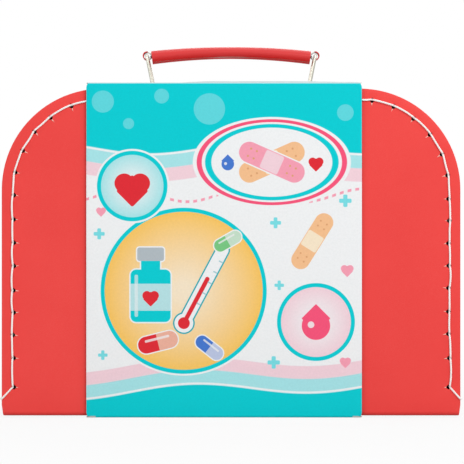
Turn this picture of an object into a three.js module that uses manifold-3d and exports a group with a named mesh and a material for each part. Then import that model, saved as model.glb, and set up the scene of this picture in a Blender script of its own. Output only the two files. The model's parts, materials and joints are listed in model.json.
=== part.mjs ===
// A toy doctor's case of red paper-covered board, upright as it is carried.
// +X runs along the case's width, -Y is the front, +Z is up, in millimetres.
// The origin is under the middle of the case, on the surface that it stands on.
import * as THREE from 'three';
import { mergeVertices } from 'three/addons/utils/BufferGeometryUtils.js';
import Module from 'manifold-3d';

const wasm = await Module();
wasm.setup();

// The case's shell
const caseWidth = 250;
const caseHeight = 178.3;
const caseDepth = 90;
const lidDepth = 36;
const lidOverlap = 10;
const cornerRadius = 55;
const boardThickness = 1.6;
const foldRadius = 2.4;
const sideTaper = 0.8;
const taperHeight = 6;
const rimThickness = 1.4;
const rimInset = 0.4;
const rimSlip = 0.7;
const flangeWidth = 12;
const glueTabWidth = 12;
const glueTabMargin = 3;
const hingeStripWidth = 24;
const hingeStripMargin = 5;
const hingeStripThickness = 0.3;

// Notches that let the rims' flanges turn the corner
const notchesPerCorner = 5;
const notchRoot = 1.5;
const notchHalfWidth = 0.9;

// The stitching
const stitchInset = 6.3;
const stitchPitch = 12.9;
const lowestStitch = 15.5;
const threadDiameter = 1.2;
const threadLink = 0.8;
const holeAlong = 2.4;
const holeAcross = 3;
const holeOffset = 0.35;
const threadTurnHeight = 9.2;
const threadTurnReach = 3.2;
const threadTurnDepth = 2.4;
const threadNotch = 1.8;

// The printed card sleeve
const sleeveWidth = 150;
const sleeveShift = -3.8;
const sleeveRise = 3.2;
const sleeveThickness = 0.4;
const sleeveFold = 1.2;
const sleeveSeam = 0.6;
const windowMargin = 7.3;
const windowPlay = 1.5;

// The handle
const wireDiameter = 1.7;
const ringWidth = 14;
const ringCorner = 1.6;
const ringHeight = 22.4;
const ringLean = 4.5;
const handleGap = 9;
const bracketSheet = 0.7;
const bracketLength = 13;
const bracketPlay = 0.3;
const gripLength = 90;
const gripPlay = 0.3;
const gripHeight = 6.8;
const gripSheet = 0.6;
const gripBow = 2.7;
const curlPlay = 1.05;
const tonguePlay = 1.3;
const tongueReach = 2.7;
const tongueOverlap = 4;

// The latch
const latchSheet = 0.6;
const latchWidth = 21;
const latchPlateLength = 16;
const latchEdgeMargin = 1.5;
const pinDiameter = 1.2;
const pinPlay = 0.15;
const knuckleSplit = 9;
const haspWidth = 16;
const haspLength = 13;
const haspLip = 0.8;
const haspLift = 12;
const slotWidth = 6;
const slotLength = 3.6;
const hookReach = 9;
const hookWidth = 4.6;
const hookRise = 0.8;
const hookNose = 1.2;
const catchWidth = 14;
const catchLength = 11;

// Rivets and washers
const rivetHead = 3.6;
const rivetDome = 0.8;
const rivetShank = 1.8;
const rivetTail = 3;
const rivetTailHeight = 0.5;
const washerDiameter = 6;
const washerThickness = 0.5;

// Gaps between pieces, the overrun of a cutting tool past what it cuts, and how near
// two corners are one
const glueGap = 0.1;
const runGap = 0.3;
const overrun = 2;
const weldDistance = 1e-5;

// Where the rolled sheets start and stop, in degrees round their bars
const gripRollFrom = -125;
const gripRollTo = 212;
const tongueCurlTo = -190;
const bracketCurlTo = 150;
const plateCurlTo = 200;
const haspCurlFrom = 350;

// Counts of facets
const cornerSteps = 12;
const foldSteps = 3;
const curlSteps = 10;
const gripSteps = 8;
const rivetSides = 8;
const threadSides = 6;
const wireSides = 8;

// Places that follow from the sizes above
const caseBottom = sleeveThickness + glueGap + hingeStripThickness + glueGap;
const caseTop = caseBottom + caseHeight;
const frontFace = -caseDepth / 2;
const hingeY = frontFace + lidDepth;
const lidEdge = hingeY + lidOverlap;
const floorTop = caseBottom + boardThickness;
const rimFoot = caseBottom + foldRadius + glueGap;
const threadRadius = threadDiameter / 2;
const wireRadius = wireDiameter / 2;
const baseInset = rimInset + rimThickness + rimSlip;
const sleeveStandOff = glueGap + threadDiameter + glueGap;
const sleeveHeight = caseTop + sleeveRise;
const gripSpacing = gripLength + tongueReach * 2;
const footSpacing = gripSpacing - ringLean * 2;
const windowWidth = gripSpacing + windowMargin * 2;
const gripWidth = ringWidth - (wireDiameter + gripPlay) * 2;
const tongueWidth = ringWidth - (wireDiameter + tonguePlay) * 2;
const handleY = lidEdge + handleGap + ringWidth / 2;
const latchY = lidEdge - latchEdgeMargin;
const windowFront = latchY - latchPlateLength - windowPlay;
const windowBack = handleY + ringWidth / 2 + windowPlay;

// The two halves: face is the outer panel's face, and inward points into the case
const lid = {
  face: frontFace,
  inward: 1,
  inset: 0,
  floorReach: lidDepth - runGap,
  rimReach: lidDepth + lidOverlap,
};
const base = {
  face: -frontFace,
  inward: -1,
  inset: baseInset - rimInset,
  floorReach: caseDepth - lidDepth - runGap,
  rimReach: caseDepth - lidDepth - runGap,
};

const paperRed = finish(0xe84d49, 0.55, 0);
const rimRed = finish(0xdc423f, 0.55, 0);
const cottonWhite = finish(0xf3efe8, 0.9, 0);
const printedCard = finish(0x2fcfd4, 0.3, 0);
const coatedRed = finish(0xe0504e, 0.35, 0.2);
const nickel = finish(0xcfcabc, 0.3, 1);
const darkSteel = finish(0x8d8a86, 0.4, 1);
const stripRed = finish(0xb93a38, 0.8, 0);

function finish(colour, roughness, metalness) {
  return new THREE.MeshStandardMaterial({ color: colour, roughness, metalness });
}

// Turns a closed geometry into a solid that can be joined and cut
function solid(geometry) {
  const bare = geometry.index ? geometry.toNonIndexed() : geometry.clone();
  bare.deleteAttribute('normal');
  bare.deleteAttribute('uv');
  const merged = mergeVertices(bare, weldDistance);
  return new wasm.Manifold(new wasm.Mesh({
    numProp: 3,
    vertProperties: merged.attributes.position.array,
    triVerts: Uint32Array.from(merged.index.array),
  }));
}

function geometryOf(body) {
  const mesh = body.getMesh();
  const geometry = new THREE.BufferGeometry();
  geometry.setAttribute('position', new THREE.BufferAttribute(mesh.vertProperties, 3));
  geometry.setIndex(new THREE.BufferAttribute(mesh.triVerts, 1));
  geometry.computeVertexNormals();
  return geometry;
}

function joined(bodies) {
  return bodies.reduce((whole, body) => whole.add(body));
}

function cut(body, tools) {
  return tools.reduce((rest, tool) => rest.subtract(tool), body);
}

// An outline in X and Z, pushed along Y from one place to another
function prismY(shape, from, to) {
  const low = Math.min(from, to);
  const high = Math.max(from, to);
  const geometry = new THREE.ExtrudeGeometry(shape, {
    depth: high - low,
    bevelEnabled: false,
    curveSegments: cornerSteps,
  });
  geometry.rotateX(Math.PI / 2);
  geometry.translate(0, high, 0);
  return solid(geometry);
}

// An outline in Y and Z, pushed along X from one place to another
function prismX(shape, from, to) {
  const geometry = new THREE.ExtrudeGeometry(shape, {
    depth: to - from,
    bevelEnabled: false,
    curveSegments: cornerSteps,
  });
  const turned = new THREE.Matrix4().makeBasis(
    new THREE.Vector3(0, 1, 0),
    new THREE.Vector3(0, 0, 1),
    new THREE.Vector3(1, 0, 0),
  );
  geometry.applyMatrix4(turned);
  geometry.translate(from, 0, 0);
  return solid(geometry);
}

function block(x0, x1, y0, y1, z0, z1) {
  const geometry = new THREE.BoxGeometry(x1 - x0, Math.abs(y1 - y0), z1 - z0);
  geometry.translate((x0 + x1) / 2, (y0 + y1) / 2, (z0 + z1) / 2);
  return solid(geometry);
}

function arc(u, v, radius, from, to, steps) {
  const points = [];
  for (let i = 0; i <= steps; i += 1) {
    const angle = THREE.MathUtils.degToRad(from + ((to - from) * i) / steps);
    points.push(new THREE.Vector2(u + radius * Math.cos(angle), v + radius * Math.sin(angle)));
  }
  return points;
}

function point(u, v) {
  return new THREE.Vector2(u, v);
}

// The outline of a sheet of even thickness whose middle follows the points
function sheetOutline(points, thickness) {
  const left = [];
  const right = [];
  points.forEach((here, i) => {
    const before = points[Math.max(i - 1, 0)];
    const after = points[Math.min(i + 1, points.length - 1)];
    const into = (i > 0 ? here.clone().sub(before) : after.clone().sub(here)).normalize();
    const out = (i < points.length - 1 ? after.clone().sub(here) : into.clone()).normalize();
    const along = into.clone().add(out).normalize();
    const offset = thickness / 2 / along.dot(out);
    const across = point(-along.y, along.x);
    left.push(here.clone().addScaledVector(across, offset));
    right.push(here.clone().addScaledVector(across, -offset));
  });
  return new THREE.Shape([...left, ...right.reverse()]);
}

// A round tube with mitred bends along the points, open-ended paths being capped
function tube(points, radius, sides, closed = false) {
  const count = points.length;
  const run = (i) => points[(i + 1) % count].clone().sub(points[i]).normalize();
  const mitre = (i) => {
    if (!closed && i === 0) return run(0);
    if (!closed && i === count - 1) return run(count - 2);
    return run((i + count - 1) % count).add(run(i)).normalize();
  };
  const slide = (corner, along, i) => {
    const reach = points[i].clone().sub(corner).dot(mitre(i)) / along.dot(mitre(i));
    return corner.clone().addScaledVector(along, reach);
  };
  const first = run(0);
  const helper = Math.abs(first.y) < 0.9 ? new THREE.Vector3(0, 1, 0) : new THREE.Vector3(0, 0, 1);
  const side = new THREE.Vector3().crossVectors(helper, first).normalize();
  const up = new THREE.Vector3().crossVectors(first, side);
  let ring = [];
  for (let j = 0; j < sides; j += 1) {
    const angle = ((j + 0.5) / sides) * Math.PI * 2;
    const corner = points[0].clone();
    corner.addScaledVector(side, radius * Math.cos(angle));
    corner.addScaledVector(up, radius * Math.sin(angle));
    ring.push(slide(corner, first, 0));
  }
  const corners = [...ring];
  for (let i = 1; i < count; i += 1) {
    const along = run(i - 1);
    ring = ring.map((corner) => slide(corner, along, i));
    corners.push(...ring);
  }
  const faces = [];
  const spans = closed ? count : count - 1;
  for (let i = 0; i < spans; i += 1) {
    const near = i * sides;
    const far = ((i + 1) % count) * sides;
    for (let j = 0; j < sides; j += 1) {
      const next = (j + 1) % sides;
      faces.push(near + j, near + next, far + next, near + j, far + next, far + j);
    }
  }
  if (!closed) {
    const end = (count - 1) * sides;
    for (let j = 1; j < sides - 1; j += 1) {
      faces.push(0, j + 1, j, end, end + j, end + j + 1);
    }
  }
  const geometry = new THREE.BufferGeometry().setFromPoints(corners);
  geometry.setIndex(faces);
  return solid(geometry);
}

// The case's outline seen from the front, drawn in by an inset, down to a given height
function caseOutline(inset, foot) {
  const half = caseWidth / 2 - inset;
  const top = caseTop - inset;
  const radius = cornerRadius - inset;
  const shape = new THREE.Shape();
  const taperTop = caseBottom + taperHeight;
  const drawnIn = half - (sideTaper * (taperTop - foot)) / taperHeight;
  shape.moveTo(-drawnIn, foot);
  shape.lineTo(drawnIn, foot);
  shape.lineTo(half, taperTop);
  shape.lineTo(half, top - radius);
  shape.absarc(half - radius, top - radius, radius, 0, Math.PI / 2, false);
  shape.lineTo(-half + radius, top);
  shape.absarc(-half + radius, top - radius, radius, Math.PI / 2, Math.PI, false);
  shape.lineTo(-half, taperTop);
  return shape;
}

// How deep in a half of the case a place lies, as a Y
function depthIn(half, depth) {
  return half.face + half.inward * depth;
}

// The stitches' places along the panel's edge, up one side, over and down the other
function stitchPlaces(half) {
  const inset = half.inset + stitchInset;
  const side = caseWidth / 2 - inset;
  const top = caseTop - inset;
  const radius = cornerRadius - inset;
  const line = new THREE.Path();
  line.moveTo(-side, caseBottom + lowestStitch);
  line.lineTo(-side, top - radius);
  line.absarc(-side + radius, top - radius, radius, Math.PI, Math.PI / 2, true);
  line.lineTo(side - radius, top);
  line.absarc(side - radius, top - radius, radius, Math.PI / 2, 0, true);
  line.lineTo(side, caseBottom + lowestStitch);
  const count = Math.round(line.getLength() / stitchPitch);
  return line.getSpacedPoints(count);
}

// A diamond hole at each stitch, a little nearer the middle than the thread
function stitchHoles(half) {
  const places = stitchPlaces(half);
  const last = places.length - 1;
  return places.map((place, i) => {
    const along = places[Math.min(i + 1, last)].clone().sub(places[Math.max(i - 1, 0)]);
    along.normalize();
    const inner = point(along.y, -along.x);
    const middle = place.clone().addScaledVector(inner, holeOffset);
    const shape = new THREE.Shape([
      middle.clone().addScaledVector(along, holeAlong / 2),
      middle.clone().addScaledVector(inner, holeAcross / 2),
      middle.clone().addScaledVector(along, -holeAlong / 2),
      middle.clone().addScaledVector(inner, -holeAcross / 2),
    ]);
    return prismY(shape, depthIn(half, -overrun), depthIn(half, boardThickness + overrun * 2));
  });
}

// The thread lies on the panel, turns round its side edge and goes in through the rim
function threadTurn(half, sign) {
  const side = caseWidth / 2 - half.inset - rimInset + glueGap + threadRadius;
  const z = caseBottom + threadTurnHeight;
  return {
    x: sign * side,
    inside: sign * (side - threadRadius - threadTurnDepth),
    y: depthIn(half, boardThickness + threadTurnReach),
    z,
  };
}

function stitching(half) {
  const places = stitchPlaces(half);
  const outside = depthIn(half, -glueGap - threadRadius);
  const inside = depthIn(half, boardThickness + glueGap + rimThickness + glueGap + threadRadius);
  const corner = (x, y, z) => new THREE.Vector3(x, y, z);
  const left = threadTurn(half, -1);
  const right = threadTurn(half, 1);
  const outer = tube([
    corner(left.inside, left.y, left.z),
    corner(left.x, left.y, left.z),
    corner(left.x, outside, left.z),
    ...places.map((place) => corner(place.x, outside, place.y)),
    corner(right.x, outside, right.z),
    corner(right.x, right.y, right.z),
    corner(right.inside, right.y, right.z),
  ], threadRadius, threadSides);
  const inner = tube(
    places.map((place) => corner(place.x, inside, place.y)),
    threadRadius,
    threadSides,
  );
  const reach = threadLink / 2;
  const links = places.map((place) => block(
    place.x - reach,
    place.x + reach,
    outside,
    inside,
    place.y - reach,
    place.y + reach,
  ));
  return joined([outer, inner, ...links]);
}

// What the turning thread cuts out of the panel's edge and the rim's side
function threadCuts(half) {
  return [-1, 1].map((sign) => {
    const turn = threadTurn(half, sign);
    const room = threadNotch / 2;
    const deep = turn.x - sign * (threadRadius + glueGap);
    const past = turn.x + sign * overrun;
    const notch = block(
      Math.min(deep, past),
      Math.max(deep, past),
      depthIn(half, -overrun),
      depthIn(half, boardThickness + overrun),
      turn.z - room,
      turn.z + room,
    );
    const hole = block(
      Math.min(turn.inside, past),
      Math.max(turn.inside, past),
      turn.y - room,
      turn.y + room,
      turn.z - room,
      turn.z + room,
    );
    return joined([notch, hole]);
  });
}

// One creased board: the outer panel, the rounded bottom fold and the floor
function board(half) {
  const middle = boardThickness / 2;
  const radius = foldRadius - middle;
  const at = (depth, z) => point(depthIn(half, depth), z);
  const fold = arc(foldRadius, caseBottom + foldRadius, radius, 270, 180, foldSteps);
  const section = sheetOutline([
    at(half.floorReach, caseBottom + middle),
    ...fold.map((place) => at(place.x, place.y)),
    at(middle, caseTop),
  ], boardThickness);
  const wide = prismX(section, -caseWidth / 2, caseWidth / 2);
  const outline = prismY(
    caseOutline(half.inset, caseBottom - overrun),
    depthIn(half, -overrun),
    depthIn(half, half.floorReach + overrun),
  );
  return cut(wide.intersect(outline), [...stitchHoles(half), ...threadCuts(half)]);
}

// The rim strip that bends over the top, with its notched flange and glued feet
function rim(half, holes) {
  const inset = half.inset + rimInset;
  const start = depthIn(half, boardThickness + glueGap);
  const end = depthIn(half, half.rimReach);
  const flangeEnd = depthIn(half, boardThickness + glueGap + rimThickness);
  const strip = prismY(caseOutline(inset, rimFoot), start, end).subtract(prismY(
    caseOutline(inset + rimThickness, rimFoot - overrun),
    start - half.inward * overrun,
    end + half.inward * overrun,
  ));
  const flange = prismY(caseOutline(inset, rimFoot), start, flangeEnd).subtract(prismY(
    caseOutline(inset + flangeWidth, rimFoot - overrun),
    start - half.inward * overrun,
    flangeEnd + half.inward * overrun,
  ));
  const feet = [-1, 1].map((sign) => {
    const outer = sign * (caseWidth / 2 - inset - sideTaper - rimThickness / 2);
    const inner = outer - sign * glueTabWidth;
    return block(
      Math.min(outer, inner),
      Math.max(outer, inner),
      depthIn(half, boardThickness + glueGap + glueTabMargin),
      depthIn(half, half.floorReach - glueTabMargin),
      floorTop + glueGap,
      floorTop + glueGap + rimThickness,
    );
  });
  const tools = [...flangeNotches(half), ...stitchHoles(half), ...threadCuts(half), ...holes];
  return cut(joined([strip, flange, ...feet]), tools);
}

function flangeNotches(half) {
  const inset = half.inset + rimInset;
  const radius = cornerRadius - inset;
  const depth = boardThickness + glueGap + rimThickness + glueGap;
  const notches = [];
  for (const sign of [-1, 1]) {
    const x = sign * (caseWidth / 2 - cornerRadius);
    const z = caseTop - cornerRadius;
    for (let i = 0; i < notchesPerCorner; i += 1) {
      const angle = ((i + 0.5) / notchesPerCorner) * (Math.PI / 2);
      const out = point(sign * Math.cos(angle), Math.sin(angle));
      const across = point(-out.y, out.x);
      const centre = point(x, z);
      const root = centre.clone().addScaledVector(out, radius - rimThickness - notchRoot);
      const mouth = centre.clone().addScaledVector(out, radius - flangeWidth - overrun);
      notches.push(prismY(new THREE.Shape([
        root,
        mouth.clone().addScaledVector(across, notchHalfWidth),
        mouth.clone().addScaledVector(across, -notchHalfWidth),
      ]), depthIn(half, 0), depthIn(half, depth)));
    }
  }
  return notches;
}

function hingeStrip() {
  const side = caseWidth / 2 - base.inset - hingeStripMargin;
  return block(
    -side,
    side,
    hingeY - hingeStripWidth / 2,
    hingeY + hingeStripWidth / 2,
    sleeveThickness + glueGap,
    sleeveThickness + glueGap + hingeStripThickness,
  );
}

// One half of the card sleeve, from the seam underneath to the seam on top
function sleeve(half, bottomSeam, topSeam) {
  const middle = sleeveThickness / 2;
  const outward = depthIn(half, -sleeveStandOff - middle);
  const radius = sleeveFold - middle;
  const inner = outward + half.inward * radius;
  const turn = (z, from, to) => arc(0, z, radius, from, to, foldSteps)
    .map((place) => point(inner + half.inward * place.x, place.y));
  const section = sheetOutline([
    point(bottomSeam, middle),
    ...turn(middle + radius, 270, 180),
    ...turn(sleeveHeight - middle - radius, 180, 90),
    point(topSeam, sleeveHeight - middle),
  ], sleeveThickness);
  const left = sleeveShift - sleeveWidth / 2;
  const opening = block(
    -windowWidth / 2,
    windowWidth / 2,
    windowFront,
    windowBack,
    sleeveHeight - sleeveThickness - overrun,
    sleeveHeight + overrun,
  );
  return prismX(section, left, left + sleeveWidth).subtract(opening);
}

// Where the hardware sits on the top of each half
const baseTop = caseTop - baseInset;
const lidTop = caseTop - rimInset;
const bracketInner = wireRadius + bracketPlay;
const bracketMiddle = bracketInner + bracketSheet / 2;
const footZ = baseTop + glueGap + bracketSheet / 2 + bracketMiddle;
const gripZ = footZ + ringHeight;
const curlInner = wireRadius + curlPlay;
const curlMiddle = curlInner + gripSheet / 2;
const pinInner = pinDiameter / 2 + pinPlay;
const knuckleMiddle = pinInner + latchSheet / 2;
const plateMiddle = lidTop + glueGap + latchSheet / 2;
const pinZ = plateMiddle + knuckleMiddle;
const catchStart = latchY + hookReach - catchLength / 2;
const catchMiddle = baseTop + glueGap + latchSheet / 2;
const hookTop = pinZ + knuckleMiddle + latchSheet / 2 + hookRise;
const bracketRivetX = footSpacing / 2 - bracketLength + rivetHead;
const latchRivetX = (latchWidth - rivetHead * 2) / 2;
const latchRivetY = hingeY - runGap - washerDiameter / 2 - rimSlip;
const catchRivetX = (catchWidth - rivetHead) / 2 - rivetDome / 2;
const catchRivetY = catchStart + catchLength - rivetHead / 2 - rivetDome / 2;

// Each rivet: its place, the sheet that it holds and the top that it goes through
const bracketPack = glueGap + bracketSheet * 2 + glueGap;
const platePack = glueGap + latchSheet;
const rivets = [];
for (const [side, sign] of [['left', -1], ['right', 1]]) {
  rivets.push({
    name: `handle_rivet_${side}`,
    washer: `handle_washer_${side}`,
    x: sign * bracketRivetX,
    y: handleY,
    seat: baseTop,
    pack: bracketPack,
  });
  rivets.push({
    name: `latch_rivet_${side}`,
    washer: `latch_washer_${side}`,
    x: sign * latchRivetX,
    y: latchRivetY,
    seat: lidTop,
    pack: platePack,
  });
  rivets.push({
    name: `catch_rivet_${side}`,
    washer: `catch_washer_${side}`,
    x: sign * catchRivetX,
    y: catchRivetY,
    seat: baseTop,
    pack: platePack,
  });
}

// A body of revolution about an upright axis
function turned(profile, x, y, sides) {
  const geometry = new THREE.LatheGeometry(profile, sides);
  geometry.rotateX(Math.PI / 2);
  geometry.translate(x, y, 0);
  return solid(geometry);
}

function rivetHole(rivet) {
  const radius = rivetShank / 2 + glueGap;
  const low = rivet.seat - rimThickness - overrun;
  const high = rivet.seat + rivet.pack + overrun;
  return turned(
    [point(0, low), point(radius, low), point(radius, high), point(0, high)],
    rivet.x,
    rivet.y,
    rivetSides,
  );
}

function rivetBody(rivet) {
  const low = rivet.seat + rivet.pack + glueGap;
  const shank = rivetShank / 2;
  const tailTop = rivet.seat - rimThickness - glueGap * 2 - washerThickness;
  const tail = rivetTail / 2;
  const dome = arc(0, 0, 1, 0, 90, foldSteps).map(
    (place) => point(place.x * (rivetHead / 2), low + place.y * rivetDome),
  );
  dome[foldSteps].x = 0;
  return turned([
    point(0, tailTop - rivetTailHeight),
    point(tail, tailTop - rivetTailHeight),
    point(tail, tailTop),
    point(shank, tailTop),
    point(shank, low),
    ...dome,
  ], rivet.x, rivet.y, rivetSides);
}

function washer(rivet) {
  const inner = rivetShank / 2 + glueGap;
  const outer = washerDiameter / 2;
  const high = rivet.seat - rimThickness - glueGap;
  const low = high - washerThickness;
  return turned([
    point(inner, low),
    point(outer, low),
    point(outer, high),
    point(inner, high),
    point(inner, low),
  ], rivet.x, rivet.y, rivetSides);
}

function holesFor(seat) {
  return rivets.filter((rivet) => rivet.seat === seat).map(rivetHole);
}

// A sheet folded round the ring's lower bar, its two leaves riveted to the case
function bracket(sign) {
  const foot = footSpacing / 2;
  const lower = baseTop + glueGap + bracketSheet / 2;
  const upper = lower + bracketSheet + glueGap;
  const loop = arc(foot, footZ, bracketMiddle, -90, bracketCurlTo, curlSteps);
  const path = [
    point(foot - bracketLength, lower),
    ...loop,
    point(foot - bracketMiddle * 2, upper),
    point(foot - bracketLength, upper),
  ];
  const section = sheetOutline(path.map((place) => point(sign * place.x, place.y)), bracketSheet);
  const half = tongueWidth / 2;
  const body = prismY(section, handleY - half, handleY + half);
  return cut(body, holesFor(baseTop));
}

// A closed wire ring, its bars along Y and its sides leaning out towards the top
function wireRing(sign) {
  const low = new THREE.Vector3((sign * footSpacing) / 2, handleY, footZ);
  const high = new THREE.Vector3((sign * gripSpacing) / 2, handleY, gripZ);
  const length = high.distanceTo(low);
  const lean = high.clone().sub(low).normalize();
  const half = (ringWidth - wireDiameter) / 2;
  const turn = (y, v, from) => arc(y, v, ringCorner, from, from + 90, foldSteps);
  const outline = [
    ...turn(half - ringCorner, ringCorner, -90),
    ...turn(half - ringCorner, length - ringCorner, 0),
    ...turn(ringCorner - half, length - ringCorner, 90),
    ...turn(ringCorner - half, ringCorner, 180),
  ];
  const points = outline.map((place) => low.clone()
    .addScaledVector(lean, place.y)
    .add(new THREE.Vector3(0, place.x, 0)));
  return tube(points, wireRadius, wireSides, true);
}

// The rolled sheet grip: an oval roll, open along its lower front edge, bowed upwards,
// with a tongue at each end that curls over and round the ring's upper bar
function grip() {
  const across = (gripWidth - gripSheet) / 2;
  const high = (gripHeight - gripSheet) / 2;
  const roll = arc(0, 0, 1, gripRollFrom, gripRollTo, gripSteps * 2).map(
    (place) => point(-place.x * across, -place.y * high),
  );
  const section = sheetOutline(roll, gripSheet);
  const curlTop = gripZ + curlInner + gripSheet;
  const endZ = curlTop - gripHeight / 2;
  const half = gripLength / 2;
  const path = new THREE.QuadraticBezierCurve3(
    new THREE.Vector3(-half, handleY, endZ),
    new THREE.Vector3(0, handleY, endZ + gripBow * 2),
    new THREE.Vector3(half, handleY, endZ),
  );
  const body = solid(new THREE.ExtrudeGeometry(section, {
    steps: gripSteps,
    extrudePath: path,
    bevelEnabled: false,
  }));
  const tongues = [-1, 1].map((sign) => {
    const bar = gripSpacing / 2;
    const curl = arc(bar, gripZ, curlMiddle, 90, tongueCurlTo, curlSteps);
    const outline = [point(half - tongueOverlap, curlTop - gripSheet / 2), ...curl];
    const shape = sheetOutline(outline.map((place) => point(sign * place.x, place.y)), gripSheet);
    return prismY(shape, handleY - tongueWidth / 2, handleY + tongueWidth / 2);
  });
  return joined([body, ...tongues]);
}

// The latch's plate on the lid, rolled round the pin at both sides of the hasp
function latchPlate() {
  const section = sheetOutline([
    point(latchY - latchPlateLength, plateMiddle),
    ...arc(latchY, pinZ, knuckleMiddle, -90, plateCurlTo, curlSteps),
  ], latchSheet);
  const half = latchWidth / 2;
  const split = block(
    -knuckleSplit / 2,
    knuckleSplit / 2,
    latchY - knuckleMiddle - latchSheet,
    latchY + knuckleMiddle + latchSheet,
    plateMiddle - overrun,
    hookTop,
  );
  return cut(prismX(section, -half, half), [split, ...holesFor(lidTop)]);
}

function latchPin() {
  const half = latchWidth / 2;
  return tube(
    [new THREE.Vector3(-half, latchY, pinZ), new THREE.Vector3(half, latchY, pinZ)],
    pinDiameter / 2,
    wireSides,
  );
}

// The slotted hasp, drawn flat and then turned up about its pin
function hasp() {
  const arm = pinZ + knuckleMiddle;
  const knuckle = arc(latchY, pinZ, knuckleMiddle, haspCurlFrom, 90, curlSteps);
  const tip = latchY + haspLength;
  const narrow = sheetOutline([...knuckle, point(latchY + haspLength / 2, arm)], latchSheet);
  const wide = sheetOutline([
    point(latchY + knuckleMiddle + latchSheet, arm),
    point(tip - latchSheet, arm),
    point(tip, arm + haspLip),
  ], latchSheet);
  const neck = knuckleSplit / 2 - runGap;
  const body = prismX(narrow, -neck, neck).add(prismX(wide, -haspWidth / 2, haspWidth / 2));
  const slot = block(
    -slotWidth / 2,
    slotWidth / 2,
    latchY + hookReach - slotLength / 2,
    latchY + hookReach + slotLength / 2,
    arm - overrun,
    arm + overrun,
  );
  const geometry = geometryOf(body.subtract(slot));
  geometry.translate(0, -latchY, -pinZ);
  geometry.rotateX(THREE.MathUtils.degToRad(haspLift));
  return geometry;
}

// The catch on the base: a riveted plate with a hook that stands up through the slot
function latchCatch() {
  const half = catchWidth / 2;
  const plate = block(
    -half,
    half,
    catchStart,
    catchStart + catchLength,
    catchMiddle - latchSheet / 2,
    catchMiddle + latchSheet / 2,
  );
  const stem = latchY + hookReach - hookNose / 2;
  const hook = prismX(sheetOutline([
    point(stem, catchMiddle),
    point(stem, hookTop - latchSheet / 2),
    point(stem + hookNose, hookTop - latchSheet / 2),
  ], latchSheet), -hookWidth / 2, hookWidth / 2);
  return cut(plate.add(hook), holesFor(baseTop));
}

const toyCase = new THREE.Group();

function addMesh(name, body, material, parent = toyCase) {
  const geometry = body.isBufferGeometry ? body : geometryOf(body);
  const mesh = new THREE.Mesh(geometry, material);
  mesh.name = name;
  parent.add(mesh);
  return mesh;
}

addMesh('lid_board', board(lid), paperRed);
addMesh('lid_rim', rim(lid, holesFor(lidTop)), rimRed);
addMesh('lid_stitching', stitching(lid), cottonWhite);
addMesh('base_board', board(base), paperRed);
addMesh('base_rim', rim(base, holesFor(baseTop)), rimRed);
addMesh('base_stitching', stitching(base), cottonWhite);
addMesh('hinge_strip', hingeStrip(), stripRed);
addMesh('sleeve_front', sleeve(lid, hingeY - sleeveSeam / 2, lidEdge), printedCard);
addMesh('sleeve_back', sleeve(base, hingeY + sleeveSeam / 2, lidEdge + sleeveSeam), printedCard);
addMesh('handle_bracket_left', bracket(-1), darkSteel);
addMesh('handle_bracket_right', bracket(1), darkSteel);
addMesh('handle_ring_left', wireRing(-1), nickel);
addMesh('handle_ring_right', wireRing(1), nickel);
addMesh('handle_grip', grip(), coatedRed);
addMesh('latch_plate', latchPlate(), darkSteel);
addMesh('latch_pin', latchPin(), nickel);
addMesh('latch_catch', latchCatch(), darkSteel);
for (const rivet of rivets) {
  addMesh(rivet.name, rivetBody(rivet), nickel);
  addMesh(rivet.washer, washer(rivet), darkSteel);
}

const haspMesh = addMesh('latch_hasp', hasp(), darkSteel);
haspMesh.position.set(0, latchY, pinZ);

export default toyCase;
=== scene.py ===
import json
import random
from functools import reduce
from itertools import accumulate
from math import atan, cos, exp, inf, pi, radians, sin, sqrt, tau

import bmesh
import bpy
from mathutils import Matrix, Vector
from mathutils.geometry import delaunay_2d_cdt


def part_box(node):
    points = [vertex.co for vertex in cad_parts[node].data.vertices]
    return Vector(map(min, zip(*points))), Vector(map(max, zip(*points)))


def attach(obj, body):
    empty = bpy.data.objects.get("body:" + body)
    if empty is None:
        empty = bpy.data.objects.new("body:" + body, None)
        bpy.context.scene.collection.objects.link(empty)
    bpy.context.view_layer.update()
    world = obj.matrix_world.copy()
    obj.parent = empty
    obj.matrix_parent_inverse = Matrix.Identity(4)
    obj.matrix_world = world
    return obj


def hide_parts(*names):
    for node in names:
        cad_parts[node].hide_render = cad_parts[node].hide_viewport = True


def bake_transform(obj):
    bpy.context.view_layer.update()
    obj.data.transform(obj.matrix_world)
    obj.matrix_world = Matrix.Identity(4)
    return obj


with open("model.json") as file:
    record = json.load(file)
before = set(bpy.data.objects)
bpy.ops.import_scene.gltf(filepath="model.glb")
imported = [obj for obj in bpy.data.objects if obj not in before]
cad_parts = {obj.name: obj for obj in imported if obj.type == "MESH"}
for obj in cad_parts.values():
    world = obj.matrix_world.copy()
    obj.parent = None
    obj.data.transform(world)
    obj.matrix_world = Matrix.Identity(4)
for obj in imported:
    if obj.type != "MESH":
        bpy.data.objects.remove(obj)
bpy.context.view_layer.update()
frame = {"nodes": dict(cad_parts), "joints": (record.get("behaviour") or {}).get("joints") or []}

# The looks of a toy doctor's case of red paper-covered board, in metres.
# +X runs along its width, -Y is the front, +Z is up, as in the frame.
MM = 0.001
random.seed(7)
pivots = {joint["name"]: joint["pos_m"] for joint in frame["joints"]}

# The boards
lid_low, lid_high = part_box("lid_board")
BOTTOM = lid_low.z
CORNER = 55 * MM
BOARD = 1.6 * MM
BOARD_EDGE = 0.3 * MM
FOLD = 2.4 * MM
TAPER = 0.8 * MM
TAPER_HEIGHT = 6 * MM
BULGE = 0.32 * MM
DIMPLE = 0.16 * MM
DIMPLE_REACH = 1.9 * MM
GLUE = 0.1 * MM
BOARD_STEP = 9 * MM
HOLE_RINGS = (2.1 * MM, 8), (3.4 * MM, 10)
HOLE_CLEAR = 5.5 * MM

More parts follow.
